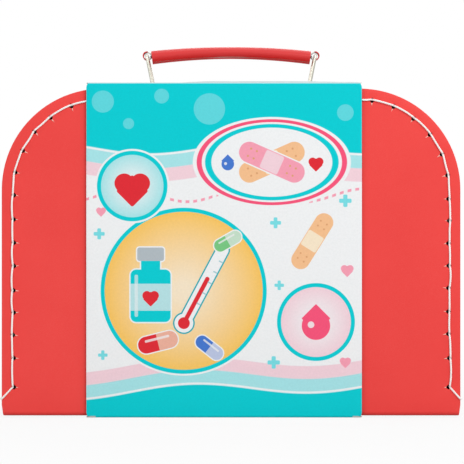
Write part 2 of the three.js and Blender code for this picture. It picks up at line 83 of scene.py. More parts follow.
# The rims
RIM = 1.4 * MM
RIM_INSET = 0.4 * MM
RIM_EDGE = 0.35 * MM
FLANGE = 12 * MM
NOTCHES = 5
NOTCH_HALF = 0.9 * MM
FOOT_WIDTH = 12 * MM
FOOT_MARGIN = 3 * MM

# The stitching
STITCH_INSET = 5.6 * MM
STITCH_PITCH = 12.9 * MM
LOWEST_STITCH = 15.5 * MM
LOWEST_GAP = 1.24
THREAD = 0.58 * MM
PLIES = 3
LAY = 3.4 * MM
PULL = 0.12 * MM
SWAY = 0.4 * MM
HOLE_ALONG = 1.45 * MM
HOLE_ACROSS = 1.6 * MM
HOLE_OFFSET = 0.7 * MM
WANDER = 0.35 * MM
THREAD_DIP = 1.0 * MM
DIP_REACH = 0.7 * MM
TURN_HEIGHT = 9.2 * MM

# The card sleeve
sleeve_low, sleeve_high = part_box("sleeve_front")
SLEEVE_MIDDLE = (sleeve_low.x + sleeve_high.x) / 2
CARD = 0.4 * MM
CARD_EDGE = 0.08 * MM
CARD_FOLD = 1.2 * MM
WINDOW = 55 * MM
WINDOW_CORNER = 3 * MM
WINDOW_MARGIN = 1.5 * MM
HINGE_GAP = 0.3 * MM
TOP_GAP = 0.6 * MM
LIP_RISE = 2.05 * MM
WORN = 5 * MM
PINCH = 0.7 * MM
PINCH_REACH = 1.1 * MM

# The handle and the rivets
WIRE = 0.85 * MM
RING_BEND = 1.6 * MM
RING_TILT = 2
SHEET = 0.6 * MM
PLAY = 1.05 * MM
GRIP_LENGTH = 90 * MM
GRIP_HEIGHT = 6.8 * MM
GRIP_HALF = 5 * MM
GRIP_BOW = 2.7 * MM
ROLL_START, ROLL_END, TUCKED = -126, 230, 42
TUCK = 0.45 * MM
BURR = 0.14 * MM
CROWN_DROP = 3.4 * MM
DOME = 0.8 * MM
SHANK = 0.9 * MM
TAIL = 1.5 * MM
TAIL_HEIGHT = 0.5 * MM
WASHER_EDGE = 0.12 * MM


class Half:
    """One half of the case: its outer face, the end of its floor, its side and its top."""

    def __init__(self, name, inward):
        low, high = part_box(f"{name}_board")
        self.name, self.rim, self.inward = name, f"{name}_rim", inward
        self.face, self.floor = (low.y, high.y) if inward > 0 else (high.y, low.y)
        self.side, self.top = high.x, high.z

    def corner(self, inset):
        """The centre of the right top corner and its radius, at an inset from the edge."""
        radius = CORNER - inset - (lid_high.x - self.side)
        return self.side - inset - radius, self.top - inset - radius, radius


LID, BASE = Half("lid", 1), Half("base", -1)


# Paths and outlines

def vec(*numbers):
    return Vector(numbers)


X, Y, Z = vec(1, 0, 0), vec(0, 1, 0), vec(0, 0, 1)


def share_of(t):
    return min(max(t, 0), 1)


def eased(t):
    """Goes from 0 to 1, and starts and stops gently."""
    t = share_of(t)
    return t * t * (3 - 2 * t)


def fading(reach, width):
    """1 at a place, and less the farther from it."""
    return exp(-(reach / width) ** 2)


def steps(start, end, count):
    return [start + (end - start) * k / count for k in range(count + 1)]


def arc(u, v, radius, start, end, count):
    """Points round a centre, the angles in degrees."""
    turns = map(radians, steps(start, end, count))
    return [vec(u + radius * cos(a), v + radius * sin(a)) for a in turns]


def divided(start, end, step):
    """Points from start up to, but not including, end, about a step apart."""
    count = max(1, round((end - start).length / step))
    return [start.lerp(end, i / count) for i in range(count)]


def mirrored(points):
    """The points on the other side of the middle, in reverse order."""
    return [vec(-p.x, p.y) for p in reversed(points)]


def case_outline(half, inset, foot, step=6 * MM, corner_steps=24):
    """The panel's outline from the left foot, over the top, to the right foot, in X and Z."""
    side, top = half.side - inset, half.top - inset
    x, z, radius = half.corner(inset)
    bend = vec(-side, BOTTOM + TAPER_HEIGHT)
    drawn_in = side - TAPER * (BOTTOM + TAPER_HEIGHT - foot) / TAPER_HEIGHT
    points = divided(vec(-drawn_in, foot), bend, TAPER_HEIGHT / 2)
    points += divided(bend, vec(-side, z), step)
    points += arc(-x, z, radius, 180, 90, corner_steps)[:-1]
    points += divided(vec(-x, top), vec(0, top), step)
    return points + [vec(0, top)] + mirrored(points)


def lengths_along(path):
    """How far each point of a path lies from its start, along it."""
    return [0] + list(accumulate((b - a).length for a, b in zip(path, path[1:])))


def spaced(points, gaps):
    """Points along a line, the spaces between them in the given proportions."""
    lengths, out, i = lengths_along(points), [], 0
    for k in range(len(gaps) + 1):
        want = lengths[-1] * sum(gaps[:k]) / sum(gaps)
        while i < len(points) - 2 and lengths[i + 1] < want:
            i += 1
        share = (want - lengths[i]) / max(lengths[i + 1] - lengths[i], 1e-12)
        out.append(points[i].lerp(points[i + 1], share_of(share)))
    return out


def runs(path):
    """The direction of a path at each of its points."""
    last = len(path) - 1
    return [(path[min(i + 1, last)] - path[max(i - 1, 0)]).normalized() for i in range(last + 1)]


def directed(places):
    """Each place on a flat path, with the path's direction and the way to the right of it."""
    return [(p, run, vec(run.y, -run.x)) for p, run in zip(places, runs(places))]


def stitches(half):
    """Each stitch from the lower left to the lower right, in X and Z: its place, the seam's
    direction and the way to the panel's middle. They are pricked by hand, so their spaces vary."""
    lowest = BOTTOM + LOWEST_STITCH
    line = [p for p in case_outline(half, STITCH_INSET, BOTTOM) if p.y > lowest]
    first = vec(line[0].x, lowest)
    line = [first] + line + mirrored([first])
    hand = random.Random(half.rim)
    count = round(lengths_along(line)[-1] / STITCH_PITCH) - 2
    between = [hand.uniform(0.93, 1.05) for _ in range(count)]
    places = directed(spaced(line, [LOWEST_GAP] + between + [LOWEST_GAP]))
    return directed([p + across * hand.uniform(-0.7 * WANDER, WANDER) for p, _, across in places])


def hole(place, along, across):
    """The diamond that the awl leaves beside the thread."""
    centre = place + across * HOLE_OFFSET
    return [centre + along * HOLE_ALONG, centre + across * HOLE_ACROSS,
            centre - along * HOLE_ALONG, centre - across * HOLE_ACROSS]


def rounded(corners, radius):
    """A closed outline with its corners rounded."""
    out = []
    for i, corner in enumerate(corners):
        before, after = corners[i - 1] - corner, corners[(i + 1) % len(corners)] - corner
        reach = min(radius, before.length * 0.49, after.length * 0.49)
        start, end = corner + before.normalized() * reach, corner + after.normalized() * reach
        out += [start.lerp(corner, t).lerp(corner.lerp(end, t), t) for t in steps(0, 1, 3)]
    return out


def circle(radius, sides):
    return arc(0, 0, radius, 0, 360, sides)[:-1]


def frames_along(path, up):
    """Two directions square to a path at each of its points, the first as near up as can be."""
    firsts = [(up - run * up.dot(run)).normalized() for run in runs(path)]
    return [(first, run.cross(first)) for first, run in zip(firsts, runs(path))]


def inside(p, ring):
    """Whether a point lies inside a closed outline."""
    found = False
    for a, b in zip(ring, ring[1:] + ring[:1]):
        if (a.y > p.y) != (b.y > p.y) and p.x < a.x + (b.x - a.x) * (p.y - a.y) / (b.y - a.y):
            found = not found
    return found


def distance(p, ring):
    """How far a point lies from a closed outline."""
    best = inf
    for a, b in zip(ring, ring[1:] + ring[:1]):
        run = b - a
        share = share_of((p - a).dot(run) / max(run.length_squared, 1e-18))
        best = min(best, (p - a - run * share).length)
    return best


# Meshes, built from points and faces

def new_object(name, data):
    piece = bpy.data.objects.new(name, data)
    bpy.context.scene.collection.objects.link(piece)
    return piece


def mesh_object(name, points, faces, materials=(), smooth=40):
    mesh = bpy.data.meshes.new(name)
    mesh.from_pydata([tuple(p) for p in points], [], faces)
    for material in materials:
        mesh.materials.append(material)
    tidy_normals(mesh, smooth)
    return new_object(name, mesh)


def shade(mesh, smooth):
    """Shades edges flatter than the angle smooth."""
    mesh.shade_smooth()
    mesh.set_sharp_from_angle(angle=radians(smooth))


def tidy_normals(mesh, smooth=35):
    """Turns the faces outwards, and shades them."""
    work = bmesh.new()
    work.from_mesh(mesh)
    bmesh.ops.recalc_face_normals(work, faces=work.faces)
    work.to_mesh(mesh)
    work.free()
    shade(mesh, smooth)


def with_modifiers(piece):
    """The piece with its modifiers applied."""
    bpy.context.view_layer.update()
    graph = bpy.context.evaluated_depsgraph_get()
    mesh = bpy.data.meshes.new_from_object(piece.evaluated_get(graph))
    piece.modifiers.clear()
    piece.data = mesh
    return piece


def soft_edges(piece, width):
    bevel = piece.modifiers.new("edge", "BEVEL")
    bevel.width = width
    bevel.segments = 2
    bevel.limit_method = "ANGLE"
    bevel.angle_limit = radians(50)
    return bevel


def joined(name, pieces):
    """Several objects as one."""
    for other in bpy.context.selected_objects:
        other.select_set(False)
    for piece in pieces:
        piece.select_set(True)
    bpy.context.view_layer.objects.active = pieces[0]
    bpy.ops.object.join()
    pieces[0].name = pieces[0].data.name = name
    return pieces[0]


def merged(parts):
    """Several sets of points and faces as one."""
    points, faces = [], []
    for some, sides in parts:
        first = len(points)
        points += some
        faces += [tuple(first + i for i in side) for side in sides]
    return points, faces


def tube(rings):
    """The closed skin over rings of points, one after another."""
    size, last = len(rings[0]), (len(rings) - 1) * len(rings[0])
    faces = []
    for near in range(0, last, size):
        for j in range(size):
            k = (j + 1) % size
            faces.append((near + j, near + k, near + size + k, near + size + j))
    faces += [tuple(reversed(range(size))), tuple(range(last, last + size))]
    return [p for ring in rings for p in ring], faces


def swept(path, frames, section):
    """A section along a path, each frame giving the directions of the section's two sizes."""
    return tube([[place + first * u + second * v for u, v in section]
                 for place, (first, second) in zip(path, frames)])


def turned(name, profile, centre, material):
    """A body of revolution about an upright axis; the profile is in radius and height."""
    sides, points, faces, rows = 32, [], [], []
    for radius, height in profile:
        count = sides if radius > 0 else 1
        rows.append([len(points) + k % count for k in range(sides)])
        points += [vec(centre.x + u, centre.y + v, height) for u, v in circle(radius, count)]
    for low, high in zip(rows, rows[1:]):
        for j in range(sides):
            k = (j + 1) % sides
            faces.append(tuple(dict.fromkeys((low[j], low[k], high[k], high[j]))))
    return mesh_object(name, points, [f for f in faces if len(f) > 2], (material,), smooth=35)


def prism(outline, y0, y1):
    """A closed bar along Y over an outline in X and Z."""
    return tube([[vec(p.x, y, p.y) for p in outline] for y in (y0, y1)])


def cut_out(piece, prisms):
    """Cuts closed bars out of a piece."""
    tool = mesh_object("cutter", *merged(prisms))
    modifier = piece.modifiers.new("cut", "BOOLEAN")
    modifier.operation = "DIFFERENCE"
    modifier.solver = "EXACT"
    modifier.use_self = True
    modifier.object = tool
    with_modifiers(piece)
    bpy.data.objects.remove(tool)
    tidy_normals(piece.data)


def flat_sheet(name, outline, holes, inner, thickness, edge, clearance):
    """A closed sheet in its own plane, with rounded edges, its outer side up in Z.
    Material slot 0 is the outer side, 1 the inner side and 2 the cut edges."""
    points, edges = [], []
    for ring in [outline] + holes:
        first = len(points)
        points += ring
        edges += [(first + i, first + (i + 1) % len(ring)) for i in range(len(ring))]
    points += [p for p in inner if inside(p, outline) and distance(p, outline) > clearance]
    verts, _, faces = delaunay_2d_cdt(points, edges, [], 1, 1e-9)[:3]
    sheet = []
    for face in faces:
        middle = sum((verts[i] for i in face), vec(0, 0)) / len(face)
        near = [h for h in holes if (h[0] - middle).length < 5 * MM]
        if inside(middle, outline) and not any(inside(middle, h) for h in near):
            sheet.append(face)
    mesh = bpy.data.meshes.new(name)
    mesh.from_pydata([(p.x, p.y, 0) for p in verts], [], sheet)
    for _ in range(3):
        mesh.materials.append(None)
    piece = new_object(name, mesh)
    solid = piece.modifiers.new("thickness", "SOLIDIFY")
    solid.thickness = thickness
    solid.offset = 0
    solid.material_offset = 1
    solid.material_offset_rim = 2
    soft_edges(piece, edge)
    return with_modifiers(piece)


def bend_sheet(piece, place, materials, smooth=35):
    """Moves every point of a flat sheet to place(across, along, outward), and fills its slots."""
    for vertex in piece.data.vertices:
        vertex.co = place(*vertex.co)
    tidy_normals(piece.data, smooth)
    slots = piece.data.materials
    while len(slots) < len(materials):
        slots.append(None)
    for i, material in enumerate(materials):
        slots[i] = material
    return piece


# Materials

class Graph:
    """Shader nodes, with one short call for each kind."""

    def __init__(self, name, owner=None, shader="Principled BSDF", **constants):
        self.owner = owner or bpy.data.materials.new(name)
        self.owner.use_nodes = True
        self.tree = self.owner.node_tree
        self.shader = self.tree.nodes[shader]
        self.place = self.node("TexCoord").outputs["Object"]
        for socket, value in constants.items():
            self.shader.inputs[socket.replace("_", " ")].default_value = value

    def finish(self, *values):
        """Feeds the shader's colour, roughness and normal, and gives the material."""
        for socket, value in zip(("Base Color", "Roughness", "Normal"), values):
            self.feed(self.shader.inputs[socket], value)
        return self.owner

    def node(self, kind, inputs=(), **settings):
        made = self.tree.nodes.new("ShaderNode" + kind)
        for key, value in settings.items():
            setattr(made, key, value)
        for key, value in dict(inputs).items():
            self.feed(made.inputs[key], value)
        return made

    def feed(self, socket, value):
        if isinstance(value, bpy.types.NodeSocket):
            self.tree.links.new(value, socket)
        else:
            socket.default_value = value

    def show(self, share, under, over, output):
        """Sends two shaders, mixed by a share, to the output node."""
        shaders = {0: share, 1: under.outputs[0], 2: over.outputs[0]}
        both = self.node("MixShader", shaders)
        self.feed(self.tree.nodes[output].inputs[0], both.outputs[0])

    def math(self, operation, *values, clamp=False):
        made = self.node("Math", enumerate(values), operation=operation, use_clamp=clamp)
        return made.outputs[0]

    def vector(self, operation, *values, output=0):
        made = self.node("VectorMath", enumerate(values), operation=operation)
        return made.outputs[output]

    def mapped(self, vector, kind="POINT", **how):
        """A vector moved, turned or scaled."""
        return self.node("Mapping", {"Vector": vector, **how}, vector_type=kind).outputs[0]

    def noise(self, scale, detail=2, roughness=0.5, stretch=None):
        place = self.mapped(self.place, Scale=stretch) if stretch else self.place
        return self.node("TexNoise", {
            "Vector": place, "Scale": scale, "Detail": detail, "Roughness": roughness,
        }).outputs[0]

    def range(self, value, low, high, to_low=0, to_high=1):
        return self.node("MapRange", {
            "Value": value, "From Min": low, "From Max": high, "To Min": to_low, "To Max": to_high,
        }).outputs[0]

    def mix(self, share, under, over, blend="MIX"):
        made = self.node("Mix", data_type="RGBA", blend_type=blend)
        for i, value in ((0, share), (6, under), (7, over)):
            self.feed(made.inputs[i], value)
        return made.outputs[2]

    def bump(self, height, depth, strength, normal=None):
        """Bumps of a depth in millimetres, over other bumps or by themselves."""
        inputs = {"Height": height, "Distance": depth * MM, "Strength": strength}
        if normal:
            inputs["Normal"] = normal
        return self.node("Bump", inputs).outputs[0]


def srgb(red, green, blue):
    """A colour given as it shows, from 0 to 255, in the linear numbers that nodes take."""
    def linear(c):
        c /= 255
        return c / 12.92 if c <= 0.04045 else ((c + 0.055) / 1.055) ** 2.4
    return (linear(red), linear(green), linear(blue), 1)


def paper(name, colour, deep, grain=1.0):
    """Coloured paper glued over board: fine fibres, faint blotches and a soft sheen."""
    g = Graph(name, Specular_IOR_Level=0.22)
    blotch, cloud, fibre = g.noise(38, 3, 0.6), g.noise(9), g.noise(4200, 3, 0.65)
    flecks = g.noise(1300, stretch=(1, 1, 0.35))
    tone = g.mix(g.range(blotch, 0.35, 0.7, 0, 0.22), colour, deep)
    tone = g.mix(g.range(cloud, 0.4, 0.7, 0, 0.3), tone, deep)
    tone = g.mix(g.range(fibre, 0.5, 0.8, 0, 0.1), tone, (1, 0.55, 0.5, 1))
    rough = g.range(flecks, 0.3, 0.7, 0.5, 0.62)
    fine, coarse = g.math("MULTIPLY", fibre, 0.6 * grain), g.math("MULTIPLY", flecks, 0.4 * grain)
    grained = g.bump(g.math("ADD", fine, coarse), 0.02, 0.4)
    return g.finish(tone, rough, g.bump(blotch, 0.2, 0.3, grained))


def plain_card(name, colour, deep):
    """Uncoated grey board, with its layers showing as faint lines."""
    g = Graph(name, Specular_IOR_Level=0.25)
    fibre, layer = g.noise(1300, 4, 0.7), g.noise(900, stretch=(0.08, 1, 1))
    tone = g.mix(g.range(fibre, 0.35, 0.7), colour, deep)
    tone = g.mix(g.range(layer, 0.45, 0.65, 0, 0.35), tone, deep)
    rough = g.range(layer, 0, 1, 0.75, 0.95)
    return g.finish(tone, rough, g.bump(fibre, 0.05, 0.6))


def cotton(name, colour, deep):
    """Bleached cotton thread: fibres along the ply and a little fuzz."""
    g = Graph(name, Specular_IOR_Level=0.2, Sheen_Weight=0.35, Sheen_Roughness=0.5,
              Subsurface_Weight=0.3, Subsurface_Radius=(1, 1, 1), Subsurface_Scale=0.3 * MM)
    fibre = g.noise(2600, 3, 0.6)
    tone, rough = g.mix(g.range(fibre, 0.3, 0.7), colour, deep), g.range(fibre, 0, 1, 0.75, 0.95)
    return g.finish(tone, rough, g.bump(fibre, 0.06, 0.7))


def woven(name, colour, deep):
    """The woven bookcloth of the hinge."""
    g = Graph(name, Specular_IOR_Level=0.2, Sheen_Weight=0.2)
    warp, weft = [
        g.node("TexWave", {"Vector": g.place, "Scale": 900}, bands_direction=way).outputs[1]
        for way in "XY"
    ]
    weave = g.math("MULTIPLY", warp, weft)
    tone, rough = g.mix(g.range(weave, 0, 0.7), deep, colour), g.range(weave, 0, 1, 0.9, 0.75)
    return g.finish(tone, rough, g.bump(weave, 0.08, 0.7))


def coated(name, colour, deep):
    """Red lacquer on sheet metal, with a faint orange peel and darker rubbed places."""
    g = Graph(name, Specular_IOR_Level=0.22, Coat_Weight=0.04, Coat_Roughness=0.2)
    peel, wear = g.noise(420), g.noise(150, 4, 0.6, (0.12, 1, 1))
    tone = g.mix(g.range(wear, 0.45, 0.75, 0, 0.4), colour, deep)
    rough = g.range(wear, 0.3, 0.7, 0.3, 0.42)
    return g.finish(tone, rough, g.bump(peel, 0.03, 0.2))


def metal(name, colour, deep, rough, brushed, scratch=(1, 1, 1)):
    """Plated metal with fine drawn lines and darker patches in places: tarnish, and on the nickel
    also painted shade.
    """
    g = Graph(name, Metallic=1.0)
    line, tarnish_and_shade = g.noise(1800, 3, 0.6, scratch), g.noise(160, 4, 0.65)
    tone = g.mix(g.range(tarnish_and_shade, 0.42, 0.75, 0, 0.7), colour, deep)
    low = g.range(line, 0.25, 0.75, rough - brushed, rough + brushed)
    rough_all = g.math("ADD", low, g.range(tarnish_and_shade, 0.4, 0.8, 0, 0.12), clamp=True)
    return g.finish(tone, rough_all, g.bump(line, 0.02, 0.35))


red_paper = paper("red_paper", srgb(237, 68, 64), srgb(225, 55, 53))
rim_paper = paper("rim_paper", srgb(228, 58, 55), srgb(206, 42, 41), 1.3)
lining = paper("lining_paper", srgb(238, 233, 224), srgb(226, 219, 208))
grey_card = plain_card("grey_card", srgb(222, 220, 214), srgb(198, 195, 188))
white_thread = cotton("white_thread", srgb(255, 255, 253), srgb(250, 248, 242))
# Pale pink slivers: the torn paper's own colour and a painted highlight on the lifted edge.
torn_and_highlit_paper = cotton("torn_and_highlit_paper", srgb(255, 214, 200), srgb(246, 160, 148))
hinge_cloth = woven("hinge_cloth", srgb(188, 56, 54), srgb(140, 34, 34))
red_lacquer = coated("red_lacquer", srgb(214, 58, 58), srgb(190, 38, 43))
# The nickel's grey-green second colour is painted shade as well as tarnish.
nickel = metal("nickel", (0.74, 0.72, 0.62, 1), (0.4, 0.42, 0.36, 1), 0.26, 0.06)
bare_steel = metal("bare_steel", (0.62, 0.6, 0.57, 1), (0.42, 0.4, 0.37, 1), 0.34, 0.08,
                   (0.1, 1, 1))
# Near-black steel for the inside of the tongue's curl: a painted shadow.
painted_shadow_steel = metal("painted_shadow_steel", (0.2, 0.17, 0.16, 1), (0.1, 0.08, 0.08, 1), 0.5, 0.1)
zinc = metal("zinc", (0.55, 0.54, 0.52, 1), (0.34, 0.33, 0.31, 1), 0.36, 0.1, (0.12, 1, 1))

TOP_PANEL = srgb(196, 210, 212)
WHITE = srgb(238, 240, 241)
TEAL = srgb(0, 203, 210)
DEEP_TEAL = srgb(0, 168, 180)
AQUA = srgb(166, 226, 230)
PALE_AQUA = srgb(120, 219, 226)
PINK = srgb(243, 158, 178)
PALE_PINK = srgb(240, 208, 217)
HOT_PINK = srgb(244, 84, 122)
RED = srgb(222, 44, 54)
YELLOW = srgb(246, 196, 96)
CREAM = srgb(245, 228, 200)
SKIN = srgb(242, 190, 142)
TAN = srgb(222, 160, 112)
BLUE = srgb(70, 120, 205)
LEAF = srgb(120, 198, 130)
GREY = srgb(176, 186, 192)


# The printed card's artwork: plain shapes laid over each other, in millimetres

class Print(Graph):
    """Printed card. A shape is a distance in millimetres, below zero inside it.
    The panels are drawn in X and Z, from the sleeve's middle; the top is drawn in X and Y."""

    def __init__(self, name, mirror=1, lying=False, colour=WHITE):
        super().__init__(name, Specular_IOR_Level=0.02 if lying else 0.09,
                         Coat_Weight=0 if lying else 0.04, Coat_Roughness=0.12)
        placed = self.mapped(self.place, Scale=(mirror / MM, 1 / MM, 1 / MM),
                             Location=(-mirror * SLEEVE_MIDDLE / MM, 0, 0))
        split = self.node("SeparateXYZ", {0: placed})
        self.u, self.v = split.outputs[0], split.outputs[1 if lying else 2]
        self.flat = self.node("CombineXYZ", {0: self.u, 1: self.v}).outputs[0]
        self.colour = colour

    def disc(self, centre, radius):
        far = self.vector("DISTANCE", self.flat, (*centre, 0), output="Value")
        return self.math("SUBTRACT", far, radius)

    def slab(self, centre, half, corner, angle=0):
        """A rounded rectangle, half its size each way, turned by an angle in degrees."""
        turn = self.mapped(self.flat, "TEXTURE", Location=(*centre, 0),
                           Rotation=(0, 0, radians(angle)))
        size = (half[0] - corner, half[1] - corner, 0)
        past = self.vector("SUBTRACT", self.vector("ABSOLUTE", turn), size)
        far = self.vector("LENGTH", self.vector("MAXIMUM", past, (0, 0, 0)), output="Value")
        return self.math("SUBTRACT", far, max(corner, 0.01))

    def oval(self, centre, half):
        """A distance that is true enough near an oval's edge."""
        scaled = self.mapped(self.flat, "TEXTURE", Location=(*centre, 0), Scale=(*half, 1))
        far = self.vector("LENGTH", scaled, output="Value")
        return self.math("MULTIPLY", self.math("SUBTRACT", far, 1), min(half))

    def below(self, height, swell, length, phase, slope=0.0):
        """Everything under a wavy line."""
        wave = self.math("SINE", self.math("MULTIPLY_ADD", self.u, tau / length, phase))
        line = self.math("MULTIPLY_ADD", wave, swell, height)
        return self.math("SUBTRACT", self.v, self.math("MULTIPLY_ADD", self.u, slope, line))

    def edge(self, shape, half_width):
        return self.math("SUBTRACT", self.math("ABSOLUTE", shape), half_width)

    def union(self, shapes, centre, size, angle):
        """Shapes in a motif's units, from its centre. A disc is (along, across, radius). A slab is
        (along, across, half its length, half its width, corner), and may have a turn too."""
        x, y, made = size * cos(radians(angle)), size * sin(radians(angle)), []
        for along, across, *rest in shapes:
            rest, own = [size * number for number in rest[:3]], sum(rest[3:])
            spot = centre[0] + x * along - y * across, centre[1] + y * along + x * across
            made.append(self.slab(spot, rest[:2], rest[2], angle + own) if rest[1:]
                        else self.disc(spot, *rest))
        return reduce(lambda a, b: self.math("MINIMUM", a, b), made)

    def ink(self, shape, colour, grown=0, cover=1.0, soft=0.12):
        """Prints a colour inside a shape, or inside one grown from it, over what is there."""
        if grown:
            shape = self.math("SUBTRACT", shape, grown)
        self.colour = self.mix(self.range(shape, soft, -soft, 0, cover), self.colour, colour)

    def stamp(self, centre, size, angle, *layers):
        """Prints a motif, each layer its shapes, its colour and how far it is grown and covers."""
        for shapes, *how in layers:
            self.ink(self.union(shapes, centre, size, angle), *how)

    def strewn(self, places, *layer):
        for x, y, size in places:
            self.stamp((x, y), size, 0, layer)

    def varnished(self, rough=0.3):
        """The card over the print: a slight ripple, fine scuffs and a screened ink."""
        ripple, tooth, scuff = self.noise(26), self.noise(900), self.noise(70, 4, 0.7)
        screen = (0.76, 0.78, 0.78, 1)
        tone = self.mix(self.range(tooth, 0.3, 0.7, 0, 0.2), self.colour, screen, "MULTIPLY")
        normal = self.bump(tooth, 0.015, 0.3, self.bump(ripple, 0.5, 0.35))
        return self.finish(tone, self.range(scuff, 0.4, 0.8, rough, rough + 0.12), normal)


DISC = ((0, 0, 1),)
HEART = ((-0.46, 0.32, 0.56), (0.46, 0.32, 0.56), (0, -0.12, 0.66, 0.66, 0.12, 45))
PLUS = ((0, 0, 1, 0.34, 0.2), (0, 0, 0.34, 1, 0.2))
DROP = ((0, 0, 0.86), (0, 0.44, 0.62, 0.62, 0.05, 45))
DROP_SHINE = ((-0.3, 0.06, 0.2),)
STRIP = ((0, 0, 1, 0.3, 0.294),)
PAD = ((0, 0, 0.276, 0.276, 0.054),)
PORES = [(x, y, 0.03) for x in (-0.7, -0.52, 0.52, 0.7) for y in (-0.114, 0.114)]
PILL = ((0, 0, 1, 0.42, 0.41),)
PILL_END = ((0.5, 0, 0.5, 0.5, 0),)
PILL_SHINE = ((0, 0.18, 0.62, 0.06, 0.05),)
TUBE = ((0.12, 0, 0.88, 0.12, 0.115), (-0.78, 0, 0.19))
FLUID = ((-0.25, 0, 0.52, 0.045, 0.04), (-0.78, 0, 0.12))
MARKS = [(-0.3 + k * 0.24, -0.075, 0.012, 0.04, 0) for k in range(5)]
BOTTLE = ((0, 0.55, 0.42, 0.55, 0.12), (0, 1.2, 0.2, 0.2, 0.03))
CAP = ((0, 1.42, 0.28, 0.14, 0.05),)
LABEL = ((0, 0.52, 0.42, 0.28, 0),)
BOTTLE_SHINE = ((-0.3, 0.55, 0.035, 0.44, 0.03),)


def drop(p, centre, size, colour):
    p.stamp(centre, size, 0, (DROP, colour), (DROP_SHINE, WHITE, 0, 0.8))


def plaster(p, centre, length, angle, colour=SKIN, pad=CREAM):
    p.stamp(centre, length, angle, (STRIP, WHITE, 0.7), (STRIP, colour), (PAD, pad), (PORES, TAN))


def capsule(p, centre, length, angle, first, second):
    p.stamp(centre, length, angle, (PILL, WHITE, 0.6), (PILL, first))
    whole, end = [p.union(shapes, centre, length, angle) for shapes in (PILL, PILL_END)]
    p.ink(p.math("MAXIMUM", whole, end), second)
    p.stamp(centre, length, angle, (PILL_SHINE, WHITE, 0, 0.7))


def ringed_disc(p, centre, radius, inner, outer):
    """A disc that fades from its middle outwards, inside a coloured ring."""
    p.stamp(centre, radius, 0, (DISC, WHITE, 3.2), (DISC, TEAL, 2.2), (DISC, outer))
    p.colour = p.mix(p.range(p.disc(centre, radius), 0, -radius * 0.9), p.colour, inner)


def bands(p):
    """Teal at the top and the bottom, each with a pale aqua and a pink stripe along it."""
    above = p.math("MULTIPLY", p.below(147, 3.2, 118, 0.6), -1)
    for shape, pink, aqua in ((above, 15.5, 8.2), (p.below(15, 3.4, 132, 2.4, 0.03), 15, 8)):
        for reach, colour in ((pink, PALE_PINK), (aqua, AQUA), (1.2, WHITE), (0, TEAL)):
            p.ink(shape, colour, reach, soft=0.25)


def dotted_wave(p, height, swell, length, phase, colour):
    """A row of dots that follows a wave."""
    gap = 4.2
    line = p.edge(p.below(height, swell, length, phase), 0.75)
    beat = p.math("SINE", p.math("MULTIPLY", p.u, tau / gap))
    p.ink(p.math("MAXIMUM", line, p.math("MULTIPLY", beat, -gap * 0.16)), colour)


def front_print():
    p = Print("front_print")
    bands(p)
    p.strewn(((-66, 172, 6), (-52, 160, 3), (-8, 168, 8.5), (8, 156, 3.4), (-34, 175, 4),
              (66, 166, 4.5)), DISC, PALE_AQUA, 0, 0.6)
    dotted_wave(p, 121, 3.5, 64, 0.4, PINK)
    ringed_disc(p, (-22, 69), 43, CREAM, YELLOW)
    ringed_disc(p, (-50, 126), 17, WHITE, AQUA)
    badge = p.oval((26, 139), (35, 20))
    for reach, colour in ((4.6, WHITE), (3.4, HOT_PINK), (1.8, WHITE), (0.8, TEAL), (-1.2, WHITE)):
        p.ink(badge, colour, reach)
    plaster(p, (26, 139), 19, 24)
    plaster(p, (26, 139), 19, -24, PINK, PALE_PINK)
    p.strewn(((-50, 124.5, 9.5), (50, 138, 4)), HEART, RED)
    drop(p, (2, 138), 4, BLUE)
    p.stamp((-40, 52), 26, 0, ((*BOTTLE, *CAP), WHITE, 0.7), (BOTTLE, TEAL), (CAP, GREY),
            (LABEL, WHITE), (BOTTLE_SHINE, WHITE, 0, 0.5))
    p.stamp((-40, 65), 4.42, 0, (HEART, RED))
    p.stamp((-12, 70), 27, 62, (TUBE, DEEP_TEAL, 0.8), (TUBE, WHITE), (FLUID, RED),
            (MARKS, DEEP_TEAL))
    capsule(p, (-36, 41), 11, 14, RED, CREAM)
    capsule(p, (-8, 38), 8.5, -38, BLUE, WHITE)
    capsule(p, (2, 96), 8, 30, LEAF, WHITE)
    plaster(p, (48, 96), 17, 58)
    ringed_disc(p, (50, 52), 19, WHITE, PALE_PINK)
    drop(p, (50, 50), 9, HOT_PINK)
    p.strewn(((28, 106, 3), (66, 118, 3.4), (27, 30, 3.4), (-68, 100, 3), (-66, 34, 2.6),
              (30, 72, 2.6)), PLUS, PALE_AQUA)
    p.strewn(((67, 80, 3.4), (-67, 112, 2.6), (66, 30, 3)), HEART, PINK)
    return p.varnished()


def back_print():
    p = Print("back_print", mirror=-1)
    bands(p)
    p.strewn(((-60, 166, 5), (-30, 172, 7.5), (24, 164, 4), (48, 172, 6.5), (66, 160, 3)),
             DISC, PALE_AQUA, 0, 0.6)
    dotted_wave(p, 122, 3, 70, 1.4, PINK)
    dotted_wave(p, 39, 3, 70, 2.4, PALE_AQUA)
    for x, inner, outer in ((-46, WHITE, AQUA), (0, CREAM, YELLOW), (46, WHITE, AQUA)):
        ringed_disc(p, (x, 80), 19, inner, outer)
    p.stamp((-46, 78), 10, 0, (HEART, RED))
    plaster(p, (0, 80), 15, 35)
    drop(p, (46, 78), 9, BLUE)
    p.strewn(((-24, 104, 3), (24, 104, 3), (-24, 54, 2.6), (24, 54, 2.6), (-68, 54, 3),
              (68, 54, 3)), PLUS, PALE_PINK)
    return p.varnished()


